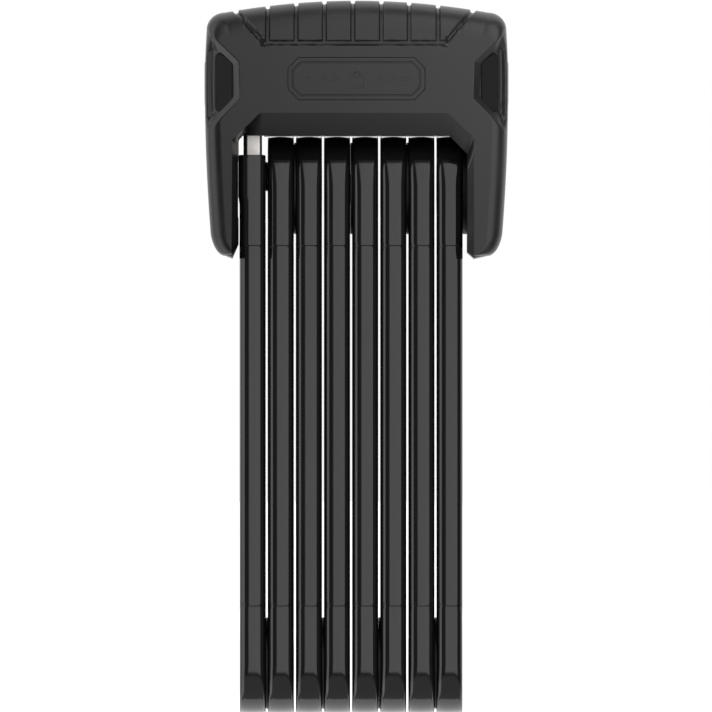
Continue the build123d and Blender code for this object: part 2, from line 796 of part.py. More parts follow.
for label, side in (("side_grip_left", -1), ("side_grip_right", 1)):
    with BuildPart() as side_grip:
        with BuildSketch(Plane.XZ.offset(half_depth - pocket_depth)):
            corners = side_outline(grip_inner, grip_straight, grip_outer, grip_height)
            grip_sketch = Polygon(*[(side * x, z) for x, z in corners], align=None)
            fillet(grip_sketch.vertices(), grip_round)
        extrude(amount=grip_rise)
        fillet(side_grip.faces().sort_by(Axis.Y)[0].edges(), grip_edge)
    keep(side_grip.part, label)

with BuildPart() as cover_screws:
    with BuildSketch(behind(case_half_depth - screw_bite)):
        with Locations(*screw_places):
            Circle(screw_radius)
    extrude(amount=head_seat - case_half_depth + screw_bite)
    with BuildSketch(behind(head_seat)):
        with Locations(*screw_places):
            Circle(screw_head_radius)
            RegularPolygon(screw_socket, 6, mode=Mode.SUBTRACT)
    extrude(amount=screw_head_height)
keep(cover_screws.part, "cover_screws")

# ================================================================ files
os.makedirs("parts", exist_ok=True)
for piece in pieces:
    export_step(piece, f"parts/{piece.label}.step")
print(len(pieces), "pieces written")
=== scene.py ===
import json
import math
import bmesh
import bpy
import numpy as np
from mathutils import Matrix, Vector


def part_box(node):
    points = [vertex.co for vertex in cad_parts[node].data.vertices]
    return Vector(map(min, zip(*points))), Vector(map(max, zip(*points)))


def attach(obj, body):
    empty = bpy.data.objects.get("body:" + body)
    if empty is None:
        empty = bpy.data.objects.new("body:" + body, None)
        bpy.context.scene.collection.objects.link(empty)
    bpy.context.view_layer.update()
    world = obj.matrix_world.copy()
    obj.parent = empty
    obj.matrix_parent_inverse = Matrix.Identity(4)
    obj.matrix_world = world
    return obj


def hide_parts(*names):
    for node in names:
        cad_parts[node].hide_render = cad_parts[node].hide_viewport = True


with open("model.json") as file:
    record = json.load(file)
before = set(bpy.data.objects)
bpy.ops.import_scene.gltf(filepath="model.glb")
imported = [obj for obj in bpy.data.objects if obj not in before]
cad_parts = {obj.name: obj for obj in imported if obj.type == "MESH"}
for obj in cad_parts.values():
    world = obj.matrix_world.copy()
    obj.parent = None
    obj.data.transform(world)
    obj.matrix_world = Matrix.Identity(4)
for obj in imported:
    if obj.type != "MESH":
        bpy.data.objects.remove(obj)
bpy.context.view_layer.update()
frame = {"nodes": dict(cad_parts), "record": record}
nodes = frame["nodes"]
mm = 0.001


def boxOf(node):
    # Low and high corner of a CAD node, in metres.
    low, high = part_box(node)
    return np.array(low), np.array(high)


# places read from the frame
barCount = 8
coatLow, coatHigh = zip(*[boxOf(f"bar_{n}_sleeve") for n in range(1, barCount + 1)])
barX = [float(low[0] + high[0]) / 2 for low, high in zip(coatLow, coatHigh)]
halfThick = float(coatHigh[1][0] - coatLow[1][0]) / 2
endRadius = float(coatHigh[1][1] - coatLow[1][1]) / 2
discLow, discHigh = boxOf("joint_disc_1_2")
lowerRivet = float(discLow[2] + discHigh[2]) / 2
discLow, discHigh = boxOf("joint_disc_2_3")
upperRivet = float(discLow[2] + discHigh[2]) / 2
coreLow, coreHigh = boxOf("bar_2_core")
coreHalf = float(coreHigh[0] - coreLow[0]) / 2
print("frame read,", len(nodes), "nodes, bars", [round(x / mm, 1) for x in barX])

# camera
cameraSettings = {"distance": 5.493, "lens": 1000.0, "height": 99.36 * mm, "side": -0.14 * mm}
cameraData = bpy.data.cameras.new("camera")
cameraData.lens = cameraSettings["lens"]
cameraData.sensor_width = 36.0
camera = bpy.data.objects.new("camera", cameraData)
bpy.context.scene.collection.objects.link(camera)
camera.location = (cameraSettings["side"], -cameraSettings["distance"], cameraSettings["height"])
camera.rotation_euler = (math.radians(90), 0, 0)
cameraData.clip_end = 100
bpy.context.scene.camera = camera
bpy.context.scene.view_settings.view_transform = "Standard"


# node helpers
class Graph:
    # Small wrapper that adds nodes and links them by name.

    def __init__(self, tree, keep=False):
        self.tree = tree
        if not keep:
            tree.nodes.clear()

    def add(self, kind, inputs=None, **settings):
        node = self.tree.nodes.new(kind)
        for name, value in settings.items():
            setattr(node, name, value)
        for key, value in (inputs or {}).items():
            if isinstance(value, bpy.types.NodeSocket):
                self.tree.links.new(value, node.inputs[key])
            else:
                node.inputs[key].default_value = value
        return node

    def math(self, operation, a, b=0.0, c=0.0, clamp=False):
        node = self.add("ShaderNodeMath", {0: a, 1: b, 2: c}, operation=operation, use_clamp=clamp)
        return node.outputs[0]

    def ramp(self, value, low, high):
        # Smooth step from 0 at low to 1 at high.
        node = self.add(
            "ShaderNodeMapRange",
            {"Value": value, "From Min": low, "From Max": high},
            interpolation_type="SMOOTHSTEP",
        )
        return node.outputs["Result"]

    def window(self, value, low, high, soft):
        # 1 between low and high, fading to 0 over soft on both sides.
        rise = self.ramp(value, low - soft / 2, low + soft / 2)
        fall = self.ramp(value, high + soft / 2, high - soft / 2)
        return self.math("MULTIPLY", rise, fall)


# studio
studio = {
    "backdrop": 1.0,
    "front": 1.55,
    "leftStrip": 1.8,
    "behind": 1.3,
    "under": 0.42,
    "fill": 0.12,
}


def buildStudio():
    world = bpy.data.worlds.new("studio")
    bpy.context.scene.world = world
    world.use_nodes = True
    g = Graph(world.node_tree)
    coords = g.add("ShaderNodeTexCoord")
    parts = g.add("ShaderNodeSeparateXYZ", {0: coords.outputs["Generated"]})
    x, y, z = parts.outputs
    away = g.math("MULTIPLY", y, -1.0)
    turn = g.math("MULTIPLY", g.math("ARCTAN2", x, away), 180 / math.pi)
    lift = g.math("MULTIPLY", g.math("ARCSINE", z), 180 / math.pi)
    front = g.math("MULTIPLY", g.window(turn, -4, 48, 5), g.window(lift, -21, 60, 8))
    left = g.math("MULTIPLY", g.window(turn, -92, -50, 4), g.window(lift, -60, 70, 12))
    side = g.math("ABSOLUTE", turn)
    behind = g.ramp(side, 96, 108)
    light = g.math("MULTIPLY", front, studio["front"])
    light = g.math("ADD", light, g.math("MULTIPLY", left, studio["leftStrip"]))
    light = g.math("ADD", light, g.math("MULTIPLY", behind, studio["behind"]))
    light = g.math("ADD", light, g.math("MULTIPLY", g.ramp(lift, -22, -34), studio["under"]))
    light = g.math("ADD", light, studio["fill"])
    path = g.add("ShaderNodeLightPath")
    strength = g.add(
        "ShaderNodeMix",
        {"Factor": path.outputs["Is Camera Ray"], "A": light, "B": studio["backdrop"]},
        data_type="FLOAT",
    )
    back = g.add("ShaderNodeBackground", {"Color": (1, 1, 1, 1), "Strength": strength.outputs[0]})
    g.add("ShaderNodeOutputWorld", {"Surface": back.outputs[0]})
    world.cycles.sampling_method = "MANUAL"
    world.cycles.sample_map_resolution = 512


def buildFloor():
    size = 8.0
    mesh = bpy.data.meshes.new("floor")
    corners = [(-size, -size, 0), (size, -size, 0), (size, size, 0), (-size, size, 0)]
    mesh.from_pydata(corners, [], [(0, 1, 2, 3)])
    floor = bpy.data.objects.new("floor", mesh)
    bpy.context.scene.collection.objects.link(floor)
    material = bpy.data.materials.new("paleFloor")
    material.use_nodes = True
    g = Graph(material.node_tree)
    glow = g.add("ShaderNodeEmission", {"Color": (1, 1, 1, 1), "Strength": 0.86})
    paper = g.add("ShaderNodeBsdfDiffuse", {"Color": (0.5, 0.5, 0.5, 1)})
    both = g.add("ShaderNodeAddShader", {0: glow.outputs[0], 1: paper.outputs[0]})
    g.add("ShaderNodeOutputMaterial", {"Surface": both.outputs[0]})
    mesh.materials.append(material)
    floor.visible_glossy = False
    floor.visible_diffuse = False


buildStudio()
buildFloor()
print("studio ready")


# mesh helpers
def smoothStep(value):
    # 3 t^2 - 2 t^3, with t held between 0 and 1.
    t = np.clip(value, 0.0, 1.0)
    return t * t * (3 - 2 * t)


def fallBack(distance, radius):
    # How far a face has dropped at this distance from a rounded edge: r - sqrt(r^2 - (r - d)^2).
    reach = np.clip(radius - np.clip(distance, 0, None), 0, None)
    return radius - np.sqrt(np.clip(radius * radius - reach * reach, 0, None))


def gridPiece(name, points, material, body, creaseAngle=32):
    # Quads between neighbouring grid points, the last column joined to the first.
    rows, columns = points.shape[:2]
    index = np.arange(rows * columns).reshape(rows, columns)
    index = np.hstack([index, index[:, :1]])
    quads = np.stack([index[:-1, :-1], index[:-1, 1:], index[1:, 1:], index[1:, :-1]], axis=-1)
    mesh = bpy.data.meshes.new(name)
    mesh.from_pydata((points.reshape(-1, 3) * mm).tolist(), [], quads.reshape(-1, 4).tolist())
    weld(mesh)
    piece = bpy.data.objects.new(name, mesh)
    bpy.context.scene.collection.objects.link(piece)
    finishPiece(piece, material, creaseAngle)
    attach(piece, body)
    return piece


def weld(mesh):
    # Merges poles and seams, drops empty faces and turns the normals outwards.
    work = bmesh.new()
    work.from_mesh(mesh)
    bmesh.ops.remove_doubles(work, verts=work.verts, dist=2e-7)
    bmesh.ops.dissolve_degenerate(work, edges=work.edges, dist=2e-7)
    bmesh.ops.recalc_face_normals(work, faces=work.faces)
    work.to_mesh(mesh)
    work.free()


def closeSlits(mesh):
    # Joins the two sides of a straight end whose points differ, so that the piece is closed.
    work = bmesh.new()
    work.from_mesh(mesh)
    slits = [edge for edge in work.edges if len(edge.link_faces) == 1]
    if slits:
        made = bmesh.ops.holes_fill(work, edges=slits, sides=0)["faces"]
        bmesh.ops.triangulate(work, faces=made)
    work.to_mesh(mesh)
    work.free()


def finishPiece(piece, material, creaseAngle):
    # Smooth shading with sharp edges past this angle, and one material.
    mesh = piece.data
    mesh.polygons.foreach_set("use_smooth", np.ones(len(mesh.polygons), dtype=bool))
    mesh.set_sharp_from_angle(angle=math.radians(creaseAngle))
    mesh.materials.clear()
    mesh.materials.append(material)


# materials
def newMaterial(name):
    # Principled material, with the Object coordinates that all its patterns read.
    material = bpy.data.materials.new(name)
    material.use_nodes = True
    g = Graph(material.node_tree)
    shader = g.add("ShaderNodeBsdfPrincipled")
    g.add("ShaderNodeOutputMaterial", {"Surface": shader.outputs[0]})
    coords = g.add("ShaderNodeTexCoord").outputs["Object"]
    return material, g, shader, coords


def noise(g, coords, scale, detail=3.0, stretch=None):
    if stretch:
        coords = g.add("ShaderNodeMapping", {"Vector": coords, "Scale": stretch}).outputs[0]
    node = g.add("ShaderNodeTexNoise", {"Vector": coords, "Scale": scale, "Detail": detail})
    return node.outputs["Fac"]


def mapTo(g, value, low, high, start=0.3, end=0.7):
    node = g.add("ShaderNodeMapRange", {"Value": value, "From Min": start, "From Max": end,
                                        "To Min": low, "To Max": high})
    return node.outputs["Result"]


def tint(g, value, low, high):
    node = g.add("ShaderNodeMix", {"Factor": value, "A": (*low, 1), "B": (*high, 1)}, data_type="RGBA")
    return node.outputs[2]


softTouch = {
    "grey": 0.019,
    "sideways": 0.33,  # painted light, paler to the right and upwards: change of grey per metre
    "upwards": 0.30,
    "paintedLightMiddleHeight": 0.175,
    "rough": 0.37,
    "grain": 0.10,
}


def makeSoftTouch():
    # Fine-grained matt moulding: two sizes of grain in the bump, slow cloudy change of roughness, and painted
    # light that makes the grey paler towards the upper right.
    material, g, shader, coords = newMaterial("softTouchMoulding")
    grain = noise(g, coords, 5200.0, 2.0)
    cloud = noise(g, coords, 90.0, 4.0)
    # painted light: slightly paler towards the upper right, standing in for the light falling more strongly
    # there
    parts = g.add("ShaderNodeSeparateXYZ", {0: coords}).outputs
    grey = g.math("MULTIPLY_ADD", parts[0], softTouch["sideways"], softTouch["grey"])
    above = g.math("SUBTRACT", parts[2], softTouch["paintedLightMiddleHeight"])
    grey = g.math("ADD", grey, g.math("MULTIPLY", above, softTouch["upwards"]))
    grey = g.math("MULTIPLY", g.math("MAXIMUM", grey, 0.002), mapTo(g, cloud, 0.9, 1.1))
    colour = g.add("ShaderNodeCombineColor", {0: grey, 1: grey, 2: g.math("MULTIPLY", grey, 0.98)})
    g.tree.links.new(colour.outputs[0], shader.inputs["Base Color"])
    rough = mapTo(g, cloud, softTouch["rough"] - 0.035, softTouch["rough"] + 0.045)
    g.tree.links.new(rough, shader.inputs["Roughness"])
    bump = g.add("ShaderNodeBump", {"Height": grain, "Strength": softTouch["grain"], "Distance": 0.00003})
    g.tree.links.new(bump.outputs[0], shader.inputs["Normal"])
    shader.inputs["Specular IOR Level"].default_value = 0.5
    return material


glossCoat = {"low": (0.006, 0.006, 0.0065), "high": (0.010, 0.010, 0.0105), "rough": 0.10, "ripple": 0.03}


def makeGlossCoat():
    # Dipped gloss coating: faint long ripples and lengthwise handling scuffs.
    material, g, shader, coords = newMaterial("glossBarCoating")
    ripple = noise(g, coords, 160.0, 2.0, (1, 1, 0.35))
    scuff = noise(g, coords, 700.0, 5.0, (1, 1, 0.06))
    g.tree.links.new(tint(g, ripple, glossCoat["low"], glossCoat["high"]), shader.inputs["Base Color"])
    rough = mapTo(g, scuff, glossCoat["rough"], glossCoat["rough"] + 0.06, 0.55, 0.8)
    g.tree.links.new(rough, shader.inputs["Roughness"])
    bump = g.add("ShaderNodeBump", {"Height": ripple, "Strength": glossCoat["ripple"], "Distance": 0.00004})
    g.tree.links.new(bump.outputs[0], shader.inputs["Normal"])
    shader.inputs["Specular IOR Level"].default_value = 0.5
    return material


def makeMetal(name, low, high, rough, brush, stretch=(1, 1, 0.02)):
    # Brushed metal: streaks along one direction drive colour, roughness and bump.
    material, g, shader, coords = newMaterial(name)
    streak = noise(g, coords, 2600.0, 4.0, stretch)
    patch = noise(g, coords, 220.0, 3.0)
    g.tree.links.new(tint(g, streak, low, high), shader.inputs["Base Color"])
    both = g.math("MULTIPLY_ADD", patch, 0.4, g.math("MULTIPLY", streak, 0.6))
    g.tree.links.new(mapTo(g, both, rough - 0.07, rough + 0.09), shader.inputs["Roughness"])
    bump = g.add("ShaderNodeBump", {"Height": streak, "Strength": brush, "Distance": 0.00004})
    g.tree.links.new(bump.outputs[0], shader.inputs["Normal"])
    shader.inputs["Metallic"].default_value = 1.0
    return material


def paintEdgeShade(material, middle, inner, outer):
    # Painted shade: the ground face keeps its colour, and past this distance in X the colour falls to near
    # black, standing in for the shade on the rounded edges.
    tree = material.node_tree
    shader = next(node for node in tree.nodes if node.type == "BSDF_PRINCIPLED")
    source = shader.inputs["Base Color"].links[0].from_socket
    coords = next(node for node in tree.nodes if node.type == "TEX_COORD").outputs["Object"]
    g = Graph(tree, keep=True)
    sideways = g.add("ShaderNodeSeparateXYZ", {0: coords}).outputs[0]
    away = g.math("ABSOLUTE", g.math("SUBTRACT", sideways, middle))
    edgeShadeMask = g.ramp(away, inner, outer)
    # painted shade colour for the edges
    black = (0.012, 0.012, 0.012, 1)
    mixed = g.add("ShaderNodeMix", {"Factor": edgeShadeMask, "A": source, "B": black}, data_type="RGBA")
    tree.links.new(mixed.outputs[2], shader.inputs["Base Color"])


def makeRubber():
    # Matt rubber with a fine pebble and dusty paler patches.
    material, g, shader, coords = newMaterial("mattRubber")
    pebble = noise(g, coords, 3800.0, 3.0)
    dust = noise(g, coords, 130.0, 5.0)
    colour = tint(g, dust, (0.008, 0.008, 0.008), (0.012, 0.012, 0.0115))
    g.tree.links.new(colour, shader.inputs["Base Color"])
    g.tree.links.new(mapTo(g, dust, 0.42, 0.55), shader.inputs["Roughness"])
    bump = g.add("ShaderNodeBump", {"Height": pebble, "Strength": 0.12, "Distance": 0.00004})
    g.tree.links.new(bump.outputs[0], shader.inputs["Normal"])
    shader.inputs["Specular IOR Level"].default_value = 0.18
    return material


housingLook = makeSoftTouch()
coatLook = makeGlossCoat()
tongueLook = makeMetal("brushedTongueSteel", (0.50, 0.48, 0.46), (0.74, 0.72, 0.69), 0.34, 0.22,
                       (1, 1, 14))
# painted shade: the tongue's rounded side edges turn near black
paintEdgeShade(tongueLook, barX[0] + 0.25 * mm, 1.55 * mm, 1.85 * mm)
steelLook = makeMetal("hardenedSteel", (0.30, 0.30, 0.31), (0.42, 0.42, 0.42), 0.42, 0.12)
rivetLook = makeMetal("bluedRivetSteel", (0.05, 0.05, 0.055), (0.09, 0.09, 0.095), 0.36, 0.10,
                      (1, 0.2, 0.2))
brassLook = makeMetal("turnedBrass", (0.52, 0.36, 0.14), (0.72, 0.53, 0.24), 0.28, 0.10, (0.1, 1, 1))
rubberLook = makeRubber()

# CAD nodes that stay as they are take the finish of their slot
slotLooks = {"housing": housingLook, "bar_coating": coatLook, "steel": steelLook,
             "rivet_steel": rivetLook, "brass": brassLook, "black_rubber": rubberLook}
for part in frame["record"]["subparts"]:
    mesh = nodes[part["node"]].data
    mesh.materials.clear()
    mesh.materials.append(slotLooks[part["material_slot"]])
print("materials ready")


# bars
bar = {
    "edgeRound": 2.5,  # long edges
    "tipRound": 0.45,  # at the very ends
    "tipCrown": 0.3,
    "tipRise": 0.24,  # upper ends only
    "seamRadius": 21.3,  # end caps reach this far from the rivet
    "seamBevel": 0.17,
    "seatRadius": 12.5,  # low boss that meets the joint disc
    "seatRise": 0.07,
    "headRecess": 7.3,
    "shoulder": 9.2,  # flat top of the tongue bar, above its rivet line
    "shoulderOverhang": 0.34,
    "overhangReach": 3.0,  # below the rivet line
    "stopRadius": 4.1,
    "stopRise": 3.3,
}
barHalf = halfThick / mm + 0.03
barRadius = endRadius / mm
recessDepth = barHalf - coreHalf / mm


def upperSide(number):
    # +1 where the upper rivet joins the bar to its right-hand neighbour, -1 to its left.
    return 1 if number % 2 == 0 else -1


def buildSleeve(number):
    # Closed tube: one parameter runs round the section, the other along the bar.
    # Half thickness = barHalf - fallBack(distance to the long edge) - fallBack(distance to the seam).
    # The ends follow z = sqrt(seamRadius^2 - y^2) about each rivet.
    bend = np.radians(np.linspace(0, 90, 9))
    edgeIn = bar["edgeRound"] * (1 - np.cos(bend))
    flat = np.linspace(barRadius - bar["edgeRound"], -(barRadius - bar["edgeRound"]), 15)[1:-1]
    across = np.concatenate([barRadius - edgeIn, flat, -barRadius + edgeIn[::-1]])
    ends = np.array([0, 0.03, 0.07, 0.11, bar["seamBevel"], 0.6, 3.0])
    along = np.concatenate([ends, np.linspace(10, 41, 6)])
    y = across[None, :]
    reach = np.sqrt(bar["seamRadius"] ** 2 - y**2)
    zLow = lowerRivet / mm + reach
    zHigh = upperRivet / mm - reach
    z = np.vstack([zLow + along[:, None], zHigh - along[::-1, None]])
    seam = np.concatenate([along, along[::-1]])[:, None]
    sink = fallBack(seam, bar["seamBevel"])
    half = barHalf - fallBack(barRadius - np.abs(y), bar["edgeRound"]) - sink
    y = y * (barRadius - sink) / barRadius
    wallSteps = np.linspace(1, -1, 7)[1:-1]
    right = np.stack([half, np.broadcast_to(y, half.shape), z], axis=-1)
    left = right * (-1, 1, 1)
    wallA = np.stack([right[:, -1] * (k, 1, 1) for k in wallSteps], axis=1)
    wallB = np.stack([right[:, 0] * (-k, 1, 1) for k in wallSteps], axis=1)
    loop = np.concatenate([right, wallA, left[:, ::-1], wallB], axis=1)
    closed = np.concatenate([loop[:1] * (0, 1, 1), loop, loop[-1:] * (0, 1, 1)])
    closed[..., 0] += barX[number - 1] / mm
    piece = gridPiece(f"barSleeve{number}", closed, coatLook, f"bar_{number}", 28)
    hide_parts(f"bar_{number}_sleeve")


def capOutline(angle, squareTop):
    # Distance from the rivet to the cap's outline: the seam arc towards the middle of the bar,
    # the straight long edges, then the round end, or the flat shoulder of the tongue bar.
    sine = np.maximum(np.abs(np.sin(angle)), 1e-9)
    cosine = np.cos(angle)
    edge = barRadius / sine
    tip = np.where(cosine < 0, barRadius, 1e9)
    if squareTop:
        tip = np.where(cosine < -1e-9, bar["shoulder"] / np.maximum(-cosine, 1e-9), 1e9)
        return np.minimum(np.minimum(edge, bar["seamRadius"]), tip)
    return np.where(cosine < 0, barRadius, np.minimum(edge, bar["seamRadius"]))


def buildCap(number, atTop):
    # Closed puck: one angle round the rivet, one step outwards and over the edge.
    # Half thickness = barHalf - fallBack(distance to the outline) - fallBack(distance to the seam).
    squareTop = number == 1 and atTop
    corner = math.asin(barRadius / bar["seamRadius"])
    breaks = [0, corner, math.pi / 2, math.pi]
    if squareTop:
        breaks[3:3] = [math.pi - math.atan(barRadius / bar["shoulder"])]
    steps = [16, 14] + ([14, 20] if squareTop else [36])
    half = np.concatenate([np.linspace(start, end, count, endpoint=False)
                           for start, end, count in zip(breaks, breaks[1:], steps)])
    half = np.sort(np.concatenate([half, corner + np.array([0.0015, 0.003, 0.005, 0.008])]))
    angle = np.concatenate([half, [math.pi], 2 * math.pi - half[:0:-1]])[None, :]
    lean = np.clip(-np.cos(angle), 0, 1)  # 0 at the long edges, 1 at the tip
    limit = capOutline(angle, squareTop) + bar["tipRise"] * lean**2 * (atTop and not squareTop)
    tipRound = bar["edgeRound"] - (bar["edgeRound"] - bar["tipRound"]) * lean**1.5
    bend = np.radians(np.linspace(0, 90, 12))[:, None]
    fine = (1 - np.cos(bend)) * bar["edgeRound"]
    near = limit - fine
    ring = bar["headRecess"]
    seat = bar["seatRadius"]
    far = np.array([seat + 0.02, seat - 0.02, 10.5, 8.5])[:, None] * np.ones_like(limit)
    far = np.minimum(far, limit - bar["edgeRound"])
    inner = np.array([ring + 0.25, ring, ring - 0.02, ring - 0.3, 5.0, 2.5, 0.0])[:, None]
    inner = inner * np.ones_like(limit)
    radius = np.concatenate([near, far, inner])
    y = radius * np.sin(angle)
    toMiddle = radius * np.cos(angle)
    seam = fallBack(bar["seamRadius"] - radius, bar["seamBevel"])
    seatReach = (radius < bar["seatRadius"]) & (not squareTop)
    if squareTop:
        drop = fallBack(barRadius - np.abs(y), bar["edgeRound"])
        drop = drop + fallBack(bar["shoulder"] + toMiddle, bar["tipRound"])
        crown = 0 * lean
    else:
        gone = np.where(toMiddle >= 0, barRadius - np.abs(y), limit - radius)
        drop = fallBack(gone, np.broadcast_to(tipRound, gone.shape))
        crown = bar["tipCrown"] * lean**2
    thick = np.clip(barHalf - drop - seam, 0.05, None)
    joinSide = upperSide(number) * (1 if atTop else -1)
    sunk = (radius < ring - 0.01) & (not squareTop)
    outer = np.where(sunk, thick - recessDepth, thick)
    direction = -1 if atTop else 1
    rivet = (upperRivet if atTop else lowerRivet) / mm

    def place(x, r):
        narrow = 1 - fallBack(bar["seamRadius"] - r, bar["seamBevel"]) / barRadius
        return np.stack([x, r * np.sin(angle) * narrow, rivet + direction * r * np.cos(angle)], axis=-1)

    overhang = 0.0
    if squareTop:
        overhang = bar["shoulderOverhang"] * smoothStep((bar["overhangReach"] - toMiddle) / 0.4)
    sideOut = place(-joinSide * outer, radius)[::-1]
    steps = np.linspace(1, -1, 9)[1:-1, None]
    rim = thick[:1] * steps
    wall = place(-joinSide * rim, limit - crown * (rim / barHalf) ** 2)
    sideOut[-1] = place(-joinSide * outer[:1], limit - crown * (thick[:1] / barHalf) ** 2)[0]
    inward = thick + overhang
    sideIn = place(joinSide * (inward + (bar["seatRise"] * seatReach if joinSide > 0 else 0)), radius)
    sideIn[0] = place(joinSide * inward[:1], limit - crown * (thick[:1] / barHalf) ** 2)[0]
    points = np.concatenate([sideOut, wall, sideIn])
    points[..., 0] += barX[number - 1] / mm
    name = f"barCap{number}{'Top' if atTop else 'Foot'}"
    piece = gridPiece(name, points, coatLook, f"bar_{number}", 28)
    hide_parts(f"bar_{number}_end_caps")
    return piece


def buildStop():
    # Low round stop on the shoulder bar: radius against height, turned about X.
    profile = np.array([[0, 0], [0, 1.0], [0.36, 1.0], [0.48, 0.985], [0.54, 0.94], [0.54, 0.0]])
    turn = np.linspace(0, 2 * math.pi, 48, endpoint=False)[None, :]
    radius = profile[:, 1:] * bar["stopRadius"]
    x = barX[0] / mm + barHalf - 0.05 + profile[:, :1] + 0 * turn
    centre = upperRivet / mm + bar["stopRise"]
    points = np.stack([x, radius * np.sin(turn), centre + radius * np.cos(turn)], axis=-1)
    gridPiece("barStop", points, coatLook, "bar_1")


tongue = {"width": 16.0, "thick": 5.1, "eye": 4.4, "edge": 0.9, "root": 26.0}


def buildTongue():
    # Flat blade with a round end about its eye. Outline radius = width / 2 at the round end and
    # width / 2 / sin(angle) along the straight sides. The section is a closed loop round the eye.
    low, high = boxOf("bar_1_core")
    eyeHeight = high[2] / mm - tongue["width"] / 2
    reach = tongue["width"] / 2
    corner = math.atan(reach / tongue["root"])
    half = np.concatenate([np.linspace(0, corner, 6, endpoint=False),
                           corner + (math.pi / 2 - corner) * np.linspace(0, 1, 24, endpoint=False) ** 1.6,
                           np.linspace(math.pi / 2, math.pi, 24, endpoint=False)])
    angle = np.concatenate([half, [math.pi], 2 * math.pi - half[:0:-1]])[None, :]
    sine = np.maximum(np.abs(np.sin(angle)), 1e-9)
    cosine = np.cos(angle)
    straight = np.minimum(reach / sine, tongue["root"] / np.maximum(cosine, 1e-9))
    limit = np.where(cosine < 0, reach, straight)
    bend = np.radians(np.linspace(0, 90, 7))[:, None]
    edgeIn = tongue["edge"] * (1 - np.cos(bend))
    edgeX = tongue["thick"] / 2 - tongue["edge"] * (1 - np.sin(bend))
    hole = tongue["eye"] + 0.3 * (1 - np.cos(bend[::-1])) + 0 * limit
    holeX = tongue["thick"] / 2 - 0.3 * (1 - np.sin(bend[::-1]))
    radius = np.concatenate([limit - edgeIn, hole])
    x = np.concatenate([edgeX, holeX]) + 0 * limit
    radius = np.concatenate([radius, radius[::-1], radius[:1]])
    x = np.concatenate([x, -x[::-1], x[:1]])
    x = x + barX[0] / mm
    points = np.stack([x, radius * np.sin(angle), eyeHeight - radius * cosine], axis=-1)
    piece = gridPiece("tongueBlade", points, tongueLook, "bar_1", 40)
    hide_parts("bar_1_core")


for number in range(1, barCount + 1):
    buildSleeve(number)
    for atTop in (False, True):
        buildCap(number, atTop)
buildStop()
buildTongue()
print("bars and tongue built")

# housing covers
cover = {
    "front": 21.0,
    "lip": 15.0,  # the bevel round the opening starts this far from the middle plane
    "legLip": 20.6,  # the same on the right leg
    "sideRound": 4.5,
    "crownRise": 2.5,  # added to the rounding towards the top
    "footFall": 1.5,  # and taken from it towards the feet
    "grooveHalf": 0.55,
    "grooveDepth": 0.8,
    "grooveSoft": 0.16,
    "grooveFloor": 185.3,
    "grooveShelf": 186.8,
    "pocketDepth": 1.5,
    "pocketSlope": 0.85,
}
silhouette = {
    "archTop": 197.8,
    "archDrop": 3.3,  # from the middle to the shoulders
    "shoulderX": 36.5,
    "shoulderZ": 189.6,
    "cornerWide": 5.0,
    "cornerHigh": 4.9,
    "widest": 42.0,
    "widestZ": 174,
    "sideEnd": 189.0,
    "leanBelow": 1.55,
    "leanAbove": 0.5,
    "heelZ": 134.0,
    "heelWide": 3.95,
    "heelHigh": 6.8,
    "heelPower": 1.25,
}
opening = {  # corners of the edge round the bars, from the left foot to the right one
    "leftFoot": (-34.5, 126.4),
    "leftLow": (-32.8, 130.4),
    "leftHigh": (-32.8, 157.6),
    "cornerCentre": (-31.2, 158.8),
    "cornerRound": 1.6,
    "topLeft": (-26.6, 160.4),
    "topRight": (25.35, 160.4),
    "slantTop": (25.6, 160.4),
    "slantFoot": (30.7, 155.3),
    "rightLow": (30.7, 128.1),
    "rightFoot": (32.7, 126.3),
}
bevelEdge = {  # outer edge of the bevel round the opening
    "leftLow": (-34.6, 130.6),
    "leftHigh": (-34.4, 159.1),
    "topLeft": (-26.6, 166.7),
    "topRight": (25.35, 166.6),
    "rightHigh": (32.5, 159.7),
    "rightLow": (32.5, 128.4),
}
grooveX = np.array([-24.6, -16.7, -8.9, -1.0, 6.9, 14.6, 22.6])
rampLines = (((-25.2, 185.5), (-33.0, 194.5)), ((24.2, 185.5), (31.7, 194.5)))
pocketLine = ((-41.5, 186.4), (-39.9, 187.8), (-32.6, 180.8), (-32.3, 170.6), (-40.6, 162.0))


def alongPath(points, fractions):
    # Points at these fractions of the length of a chain of straight runs.
    points = np.array(points, dtype=float)
    length = np.concatenate([[0], np.cumsum(np.linalg.norm(np.diff(points, axis=0), axis=1))])
    at = np.asarray(fractions) * length[-1]
    return np.stack([np.interp(at, length, points[:, k]) for k in (0, 1)], axis=1)


def archHeight(x):
    # Top of the housing: archTop - archDrop * (x / shoulderX)^2.
    return silhouette["archTop"] - silhouette["archDrop"] * (x / silhouette["shoulderX"]) ** 2


def sideReach(z):
    # Half width: widest at widestZ, less a square law below and a steeper one above.
    middle = silhouette["widestZ"]
    below = silhouette["leanBelow"] * ((middle - z) / 40) ** 2
    above = silhouette["leanAbove"] * ((z - middle) / 15.6) ** 2
    return silhouette["widest"] - np.where(z < middle, below, above)


def sideRun(low, high):
    # Right-hand outline between two heights.
    z = np.linspace(low, high, 40)
    return np.stack([sideReach(z), z], axis=1)


def shoulderRun(x):
    # Right-hand outline: a quarter ellipse over the top corner, then the arch as far as this x.
    turn = np.radians(np.linspace(0, 90, 30))
    corner = np.stack([silhouette["shoulderX"] + silhouette["cornerWide"] * np.cos(turn),
                       silhouette["shoulderZ"] + silhouette["cornerHigh"] * np.sin(turn)], axis=1)
    arch = np.linspace(silhouette["shoulderX"], x, 20)[1:]
    return np.concatenate([corner, np.stack([arch, archHeight(arch)], axis=1)])


